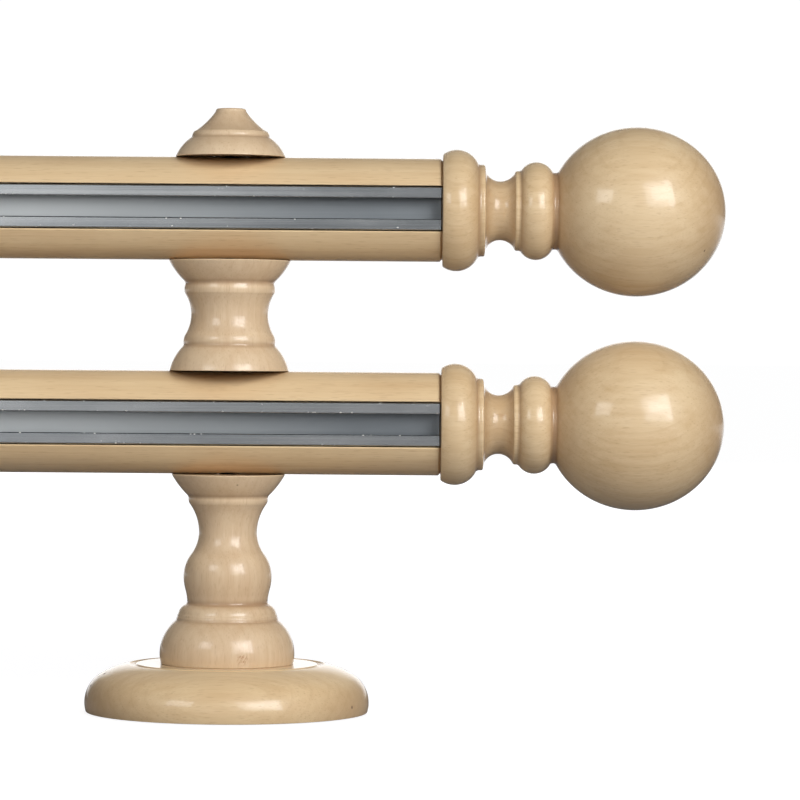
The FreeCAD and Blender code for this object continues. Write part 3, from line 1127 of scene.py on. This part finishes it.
@dataclass
class EndCap(TurnedPiece):
    """Stepped button: dome, lip, cove and a small flat top, with a blind seat for its insert."""

    seat_depth: float = 8.0
    dome: Moulding = Moulding(15.0, 5.4, 0.55)
    lip: Moulding = Moulding(10.6, 1.5, 0.14)
    cove: Moulding = Moulding(10.0, 5.5, -0.42)
    top: Moulding = Moulding(4.15, 0.7, 0.2)
    top_radius: float = 3.5

    HOLLOW: ClassVar[float] = 0.9

    def outline(self) -> Outline:
        """The insert's seat from its bottom, the flat base, then the mouldings up to the top."""
        line = Outline(0, self.seat_depth)
        line.line(FIT.sleeve_hole, self.seat_depth)
        line.line(FIT.sleeve_hole, 0)
        line.line(self.dome.radius, 0)
        line.mouldings((self.dome, self.lip, self.cove, self.top), self.top_radius)
        line.line(0, line.height)
        return line


@dataclass
class Finial(TurnedPiece):
    """One turning: collar bead, fillet, cove, ring, bead, neck and ball."""

    screw_hole: float = 2.55
    screw_reach: float = 18.0
    collar: Moulding = Moulding(15.25, 9.9, 2.5)
    fillet_radius: float = 12.5
    fillet_length: float = 1.75
    cove_radius: float = 8.0
    fillet_to_cove: float = 4.0
    cove_to_ring: float = 4.1
    ring_radius: float = 10.85
    ring_length: float = 1.35
    bead_length: float = 8.9
    bead_bulge: float = 2.65
    neck_radius: float = 10.45
    neck_length: float = 1.2
    ball_radius: float = 23.0
    ball_half_length: float = 24.2

    SEGMENTS: ClassVar[int] = 128
    ARRIS: ClassVar[float] = 0.8

    def outline(self) -> Outline:
        """The screw's hole from its bottom, the collar's face, then the mouldings and the ball."""
        line = Outline(0, self.screw_reach)
        line.line(self.screw_hole, self.screw_reach)
        line.line(self.screw_hole, 0)
        line.line(self.collar.radius, 0)
        line.mouldings((self.collar,), self.fillet_radius)
        line.line(self.fillet_radius, line.height + self.fillet_length)
        line.arriving_arc(self.cove_radius, line.height + self.fillet_to_cove)
        line.smooth_arc(self.ring_radius, line.height + self.cove_to_ring)
        line.line(self.ring_radius, line.height + self.ring_length)
        line.arc(self.neck_radius, line.height + self.bead_length, self.bead_bulge)
        line.line(self.neck_radius, line.height + self.neck_length)
        line.ball(self.ball_radius, self.ball_half_length)
        return line


@dataclass
class ThreadedPiece(TurnedPiece):
    """A metal piece with a thread, of a given length."""

    length: float = 0.0

    SLOT: ClassVar[str] = "rod_steel"
    SEGMENTS: ClassVar[int] = 32
    ARRIS: ClassVar[float] = 0.05
    HOLLOW: ClassVar[float] = 0.05


@dataclass
class CouplingSleeve(ThreadedPiece):
    """Sleeve threaded from both ends, with a solid web between the threads."""

    wall_depth: float = 10.0
    rod_depth: float = 11.0

    SLOT: ClassVar[str] = "sleeve_brass"

    def outline(self) -> Outline:
        """The wall bolt's thread from its bottom, the outside, then the rod's thread."""
        line = Outline(0, self.wall_depth)
        line.line(FIT.thread_radius, self.wall_depth)
        line.thread(0, FIT.pitch, FIT.depth)
        line.line(FIT.sleeve_radius - FIT.chamfer, 0)
        line.line(FIT.sleeve_radius, FIT.chamfer)
        line.line(FIT.sleeve_radius, self.length - FIT.chamfer)
        line.line(FIT.sleeve_radius - FIT.chamfer, self.length)
        line.line(FIT.thread_radius, self.length)
        line.thread(self.length - self.rod_depth, FIT.pitch, FIT.depth)
        line.line(0, self.length - self.rod_depth)
        return line


@dataclass
class CapInsert(ThreadedPiece):
    """Short sleeve, threaded right through."""

    SLOT: ClassVar[str] = "sleeve_brass"

    def outline(self) -> Outline:
        """The outside, then the thread."""
        line = Outline(FIT.sleeve_radius - FIT.chamfer)
        line.line(FIT.sleeve_radius, FIT.chamfer)
        line.line(FIT.sleeve_radius, self.length - FIT.chamfer)
        line.line(FIT.sleeve_radius - FIT.chamfer, self.length)
        line.line(FIT.thread_radius, self.length)
        line.thread(0, FIT.pitch, FIT.depth)
        line.line(*line.start)
        return line


@dataclass
class StackRod(ThreadedPiece):
    """Rod threaded over its whole length."""

    def outline(self) -> Outline:
        """Chamfer, thread and chamfer."""
        line = Outline(0)
        line.line(FIT.rod_radius - FIT.chamfer, 0)
        line.line(FIT.rod_radius, FIT.chamfer)
        line.thread(self.length - FIT.chamfer, FIT.pitch, FIT.depth)
        line.line(FIT.rod_radius - FIT.chamfer, self.length)
        line.line(0, self.length)
        return line


@dataclass
class DowelScrew(ThreadedPiece):
    """Headless wood screw with a point at each end and a plain band in the middle."""

    radius: float = 2.5
    tip_radius: float = 0.4
    point: float = 4.0
    band: float = 4.0
    pitch: float = 2.4
    depth: float = 0.75

    def outline(self) -> Outline:
        """Point, thread, band, thread and point."""
        line = Outline(0)
        line.line(self.tip_radius, 0)
        line.line(self.radius, self.point)
        line.thread((self.length - self.band) / 2, self.pitch, self.depth)
        line.line(self.radius, (self.length + self.band) / 2)
        line.thread(self.length - self.point, self.pitch, self.depth)
        line.line(self.tip_radius, self.length)
        line.line(0, self.length)
        return line


@dataclass
class Bracket:
    """One wall bracket: rose, sleeve, standoff, spacer, cap, insert and the rod that holds them."""

    side: Side

    FOOT_MARKS: ClassVar[tuple[Mark, ...]] = (Mark((4.9, -17.8, -23.3), 2.2, 0.8, True),)
    ROSE_MARKS: ClassVar[tuple[Mark, ...]] = (
        Mark((-32.7, -7.3, 3.9), 0.8, 1.0),
        Mark((-34.2, -6.4, 3.3), 0.5, 1.0),
        Mark((-36.4, -7.5, 0.7), 0.8, 1.0),
        Mark((34.3, -17.7, -3.6), 0.6),
    )
    SEED_STEP: ClassVar[float] = 20.0

    def axis(self, piece: str) -> Axis:
        """The bracket's axis, from a piece's lower end."""
        node = self.node(piece)
        return Axis.from_wall(sum(span(node, "x")) / 2, span(node, "z")[0])

    def node(self, piece: str) -> str:
        """A piece's node in the frame."""
        return f"{self.side.word}_{piece}"

    def length(self, piece: str) -> float:
        """A piece's length from the wall outwards."""
        low, high = span(self.node(piece), "z")
        return high - low

    def finish(self, piece: str, seed: float, grain: Grain = Grain.FROM_WALL,
               lacquer: Lacquer = Lacquer.ROSY, marks: tuple[Mark, ...] = ()) -> LacqueredWood:
        """A lacquered finish of this piece's own. Only the right-hand bracket is marked.

        Args:
            piece: the piece's word in the frame's nodes.
            seed: what sets its grain apart.
            grain: the direction of its fibres.
            lacquer: the cast of its lacquer.
            marks: its marks.

        Returns:
            The finish.
        """
        kept = marks if self.side is Side.RIGHT else ()
        own_seed = seed + self.SEED_STEP * self.side.value
        return LacqueredWood(grain, middle(self.node(piece)), own_seed, lacquer, marks=kept)

    def build(self) -> None:
        """Makes and dresses the bracket's pieces."""
        sleeve_top = span(self.node("coupling_sleeve"), "z")[1]
        sleeve_depth = sleeve_top - span(self.node("standoff"), "z")[0]
        turnings = (
            (WallRose(self.node("wall_rose"), self.axis("wall_rose")),
             self.finish("wall_rose", 3.1, Grain.ALONG_POLE, Lacquer.HONEY, self.ROSE_MARKS)),
            (Standoff(self.node("standoff"), self.axis("standoff"), sleeve_depth),
             self.finish("standoff", 5.7, marks=self.FOOT_MARKS)),
            (Spacer(self.node("spacer"), self.axis("spacer")),
             self.finish("spacer", 8.2)),
            (EndCap(self.node("end_cap"), self.axis("end_cap"), self.length("cap_insert")),
             self.finish("end_cap", 11.9)),
            (CouplingSleeve(self.node("coupling_sleeve"), self.axis("coupling_sleeve"),
                            self.length("coupling_sleeve")),
             TurnedMetal(*BRASS, Grain.FROM_WALL, 14.0)),
            (CapInsert(self.node("cap_insert"), self.axis("cap_insert"), self.length("cap_insert")),
             TurnedMetal(*BRASS, Grain.FROM_WALL, 15.0)),
            (StackRod(self.node("stack_rod"), self.axis("stack_rod"), self.length("stack_rod")),
             TurnedMetal(*SHADE_DARKENED_STEEL, Grain.FROM_WALL, 16.0)),
        )
        for turning, finish in turnings:
            turning.dress(turning.build(), finish)


@dataclass
class PoleRun:
    """One pole with its track, and a finial and a dowel screw at each end."""

    row: Row

    FINIAL_MARKS: ClassVar[dict[tuple[Row, Side], tuple[Mark, ...]]] = {
        (Row.OUTER, Side.RIGHT): (
            Mark((31.9, -11.6, -10.7), 0.5),
            Mark((-34.9, -14.7, 8.5), 1.0, 0.35, True),
        ),
    }
    FINIAL_FIGURE: ClassVar[float] = 0.05
    FINIAL_SEEDS: ClassVar[Pair] = (31.0, 6.3)
    POLE_SEEDS: ClassVar[Pair] = (40.0, 9.0)

    def node(self, piece: str) -> str:
        """A piece's node in the frame."""
        return f"{self.row.word}_{piece}"

    def build(self) -> None:
        """Makes the turned pieces and dresses them, the pole and the track."""
        for side in Side:
            self.build_end(side)
        self.dress()

    def build_end(self, side: Side) -> None:
        """Makes and dresses the finial and the dowel screw of one end."""
        z = sum(span(self.node("pole"), "z")) / 2
        pole_end = span(self.node("pole"), "x")[side is Side.RIGHT]
        finial_node = self.node(f"{side.word}_finial")
        finial = Finial(finial_node, Axis.along_pole(pole_end, z, side))
        row_step, side_step = self.FINIAL_SEEDS
        seed = row_step * self.row.value + side_step * side.value
        marks = self.FINIAL_MARKS.get((self.row, side), ())
        finish = LacqueredWood(Grain.ALONG_POLE, middle(finial_node), seed, Lacquer.AMBER,
                               self.FINIAL_FIGURE, marks=marks)
        finial.dress(finial.build(), finish)
        screw_node = self.node(f"{side.word}_dowel_screw")
        low_x, high_x = span(screw_node, "x")
        inner_end = low_x if side is Side.RIGHT else high_x
        screw = DowelScrew(screw_node, Axis.along_pole(inner_end, z, side), high_x - low_x)
        screw.dress(screw.build(), TurnedMetal(*ZINC_STEEL, Grain.ALONG_POLE, seed))

    def dress(self) -> None:
        """Gives the pole and the track, which keep the frame's meshes, their finishes."""
        z = sum(span(self.node("pole"), "z")) / 2
        low, high = span(self.node("track"), "z")
        front = span(self.node("track"), "y")[0]
        half_length = span(self.node("track"), "x")[1]
        first, row_step = self.POLE_SEEDS
        seed = first + row_step * self.row.value
        finishes = {
            "pole": LacqueredWood(Grain.ALONG_POLE, (0.0, 0.0, z), seed),
            "track": ExtrudedAluminium((0.0, front, z), (high - low) / 2, half_length, seed),
        }
        for piece, finish in finishes.items():
            node = self.node(piece)
            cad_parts[node].material_slots[0].material = finish.material(f"{node}_finish")
            LOG.info("%s: dressed", node)


@dataclass(frozen=True)
class Softbox:
    """A studio lamp: where it stands as seen from the object, its size and light, and if gloss shows it."""

    name: str
    azimuth: float
    elevation: float
    distance: float
    width: float
    height: float
    radiance: float
    gloss: bool = True

    def hang(self, target: Vector) -> None:
        """Makes the lamp and turns it to its target.

        Args:
            target: the point that it faces, in metres.
        """
        turn, rise = math.radians(self.azimuth), math.radians(self.elevation)
        away = Vector((math.sin(turn) * math.cos(rise), -math.cos(turn) * math.cos(rise), math.sin(rise)))
        data = bpy.data.lights.new(self.name, "AREA")
        data.shape = "RECTANGLE"
        data.size, data.size_y = self.width, self.height
        data.energy = self.radiance * math.pi * self.width * self.height
        lamp = bpy.data.objects.new(self.name, data)
        lamp.location = target + away * self.distance
        lamp.rotation_euler = (-away).to_track_quat("-Z", "Y").to_euler()
        lamp.visible_camera = False
        lamp.visible_glossy = self.gloss
        bpy.context.scene.collection.objects.link(lamp)


@dataclass(frozen=True)
class Viewpoint:
    """The photograph's camera: its place about the right-hand bracket, its lens and its lean."""

    place: Triple = (46.45, -1045.1, 98.5)
    pitch: float = math.radians(0.743)
    roll: float = math.radians(0.462)
    lens: float = 173.2
    sensor: float = 36.0
    near: float = 0.05
    far: float = 100.0

    def set_up(self) -> None:
        """Makes the camera. Its roll lifts its right side, so that the object leans clockwise."""
        data = bpy.data.cameras.new("viewpoint")
        data.lens = self.lens
        data.sensor_width = self.sensor
        data.clip_start, data.clip_end = self.near, self.far
        camera = bpy.data.objects.new("viewpoint", data)
        bracket_x = sum(span("right_wall_rose", "x")) / 2
        spot = (Vector(self.place) + Vector((bracket_x, 0, 0))) * MM
        aim = Matrix.Rotation(math.pi / 2 - self.pitch, 4, "X") @ Matrix.Rotation(self.roll, 4, "Z")
        camera.matrix_world = Matrix.Translation(spot) @ aim
        bpy.context.scene.collection.objects.link(camera)
        bpy.context.scene.camera = camera


@dataclass(frozen=True)
class Studio:
    """White floor and backdrop, three softboxes at the right, a small one at the left and a fill behind.

    The floor's bands are ranges of depth or distance in metres, and the world's are parts of a direction.
    """

    floor_reach: float = 60.0
    floor_drop: float = 0.0003
    front_glow: float = 0.85
    rear_glow: float = 0.92
    far_glow: float = 0.98
    front_sheen: float = 0.14
    room: float = 0.1
    side_wall: float = 1.6
    backdrop: float = 1.4
    softboxes: tuple[Softbox, ...] = (
        Softbox("right_softbox", 31, 23, 1.5, 0.92, 0.86, 5.3),
        Softbox("right_core", 30, 24, 1.45, 0.46, 0.46, 6.0),
        Softbox("right_strip", 44, 23, 1.5, 0.2, 0.86, 6.0),
        Softbox("left_softbox", -38, 23.5, 0.8, 0.3, 0.25, 6.2),
        Softbox("rear_fill", 180, 22, 2.2, 2.4, 1.4, 4.0, False),
    )

    REAR_BAND: ClassVar[Pair] = (-0.1, 0.12)
    REAR_GLOSS_BAND: ClassVar[Pair] = (0.2, 1.1)
    FRONT_GLOSS_BAND: ClassVar[Pair] = (-0.7, -1.6)
    FAR_BAND: ClassVar[Pair] = (0.6, 2.4)
    BACKDROP_BAND: ClassVar[Pair] = (0.88, 0.975)
    WALL_RIGHT: ClassVar[Pair] = (-0.02, -0.13)
    WALL_LEFT: ClassVar[Pair] = (-0.42, -0.3)
    WALL_DEPTH: ClassVar[Pair] = (0.1, -0.3)
    WALL_TOP: ClassVar[Pair] = (0.4, 0.2)
    FRONT_FLOOR: ClassVar[Colour] = (0.34, 0.33, 0.33, 1.0)
    REAR_FLOOR: ClassVar[Colour] = (0.14, 0.14, 0.15, 1.0)
    ROOM: ClassVar[Colour] = (0.9, 0.95, 1.0, 1.0)
    WHITE: ClassVar[Colour] = (1.0, 1.0, 1.0, 1.0)
    BLACK: ClassVar[Colour] = (0.0, 0.0, 0.0, 1.0)

    def set_up(self) -> None:
        """Makes the floor, the world, the lamps and the view settings."""
        self.floor()
        self.world()
        bracket_x = sum(span("right_wall_rose", "x")) / 2 * MM
        target = Vector((bracket_x, 0, (CAD_BOX[0].z + CAD_BOX[1].z) / 2))
        for softbox in self.softboxes:
            softbox.hang(target)
        bpy.context.scene.view_settings.view_transform = "Standard"

    def floor(self) -> None:
        """A wide plane just under the object, which shows as white and keeps the shadow."""
        reach = self.floor_reach / 2
        corners = np.array([[-1, -1, 0], [1, -1, 0], [1, 1, 0], [-1, 1, 0]]) * reach
        corners[:, 2] = CAD_BOX[0].z - self.floor_drop
        mesh = bpy.data.meshes.new("floor")
        mesh.from_pydata(corners, [], [[0, 1, 2, 3]])
        floor = bpy.data.objects.new("floor", mesh)
        bpy.context.scene.collection.objects.link(floor)
        material, graph = Graph.of_material("white_floor")
        place = graph.node("ShaderNodeTexCoord", output="Object")
        depth = graph.part(place, "Y")
        rear = graph.ramp(depth, *self.REAR_BAND)
        colour = graph.blend(rear, self.FRONT_FLOOR, self.REAR_FLOOR)
        lit = graph.node("ShaderNodeBsdfDiffuse", None, {"Color": colour})
        sheen = graph.ramp(depth, *self.FRONT_GLOSS_BAND) * self.front_sheen
        seen = self.looked_at(graph, graph.ramp(depth, *self.REAR_GLOSS_BAND) + sheen)
        away = graph.node("ShaderNodeVectorMath", {"operation": "LENGTH"}, {0: place}, "Value")
        near = self.front_glow + rear * (self.rear_glow - self.front_glow)
        strength = near + graph.ramp(away, *self.FAR_BAND) * (self.far_glow - near)
        white = graph.blend(seen * strength, self.BLACK, self.WHITE)
        glow = graph.node("ShaderNodeEmission", None, {"Color": white, "Strength": 1.0})
        both = graph.node("ShaderNodeAddShader", None, {0: lit, 1: glow})
        graph.node_output("ShaderNodeOutputMaterial", both)
        mesh.materials.append(material)

    @staticmethod
    def dimmed(colour: Colour, level: float) -> Colour:
        """A colour times a level, with full alpha."""
        return (*(part * level for part in colour[:3]), 1.0)

    @staticmethod
    def looked_at(graph: Graph, behind: Value) -> Value:
        """How white the surroundings are for a ray.

        Args:
            graph: the floor's or the world's graph.
            behind: 1 for what lies behind the object, 0 for what lies in front.

        Returns:
            1 for rays of the camera, as much as is behind for those of a reflection or of glass, and 0
            for those that only carry light.
        """
        path = graph.node("ShaderNodeLightPath", output="Is Camera Ray")
        reflected = path.sibling("Is Glossy Ray").at_least(path.sibling("Is Transmission Ray"))
        return path.at_least(reflected * behind)

    def world(self) -> None:
        """White behind the object, and a dim room with a pale wall at the left in front of it."""
        world = bpy.data.worlds.new("studio")
        bpy.context.scene.world = world
        world.use_nodes = True
        graph = Graph(world.node_tree)
        heading = graph.node("ShaderNodeTexCoord", output="Generated")
        across, away, up = (graph.part(heading, name) for name in "XYZ")
        wall = graph.ramp(across, *self.WALL_RIGHT) * graph.ramp(across, *self.WALL_LEFT)
        wall = wall * graph.ramp(away, *self.WALL_DEPTH) * graph.ramp(up, *self.WALL_TOP)
        pale = (graph.ramp(away, *self.BACKDROP_BAND) * self.backdrop).at_least(wall * self.side_wall)
        brightest = max(self.backdrop, self.side_wall)
        white = self.looked_at(graph, pale) / brightest
        colour = graph.blend(white, self.dimmed(self.ROOM, self.room), self.dimmed(self.WHITE, brightest))
        light = graph.node("ShaderNodeBackground", None, {"Color": colour, "Strength": 1.0})
        graph.node_output("ShaderNodeOutputWorld", light)


def main() -> None:
    """Builds the brackets, the poles, the studio and the camera."""
    logging.basicConfig(level=logging.INFO, format="%(name)s: %(message)s")
    for side in Side:
        Bracket(side).build()
    for row in Row:
        PoleRun(row).build()
    Studio().set_up()
    Viewpoint().set_up()
    LOG.info("sizes written")


if __name__ == "__main__":
    main()
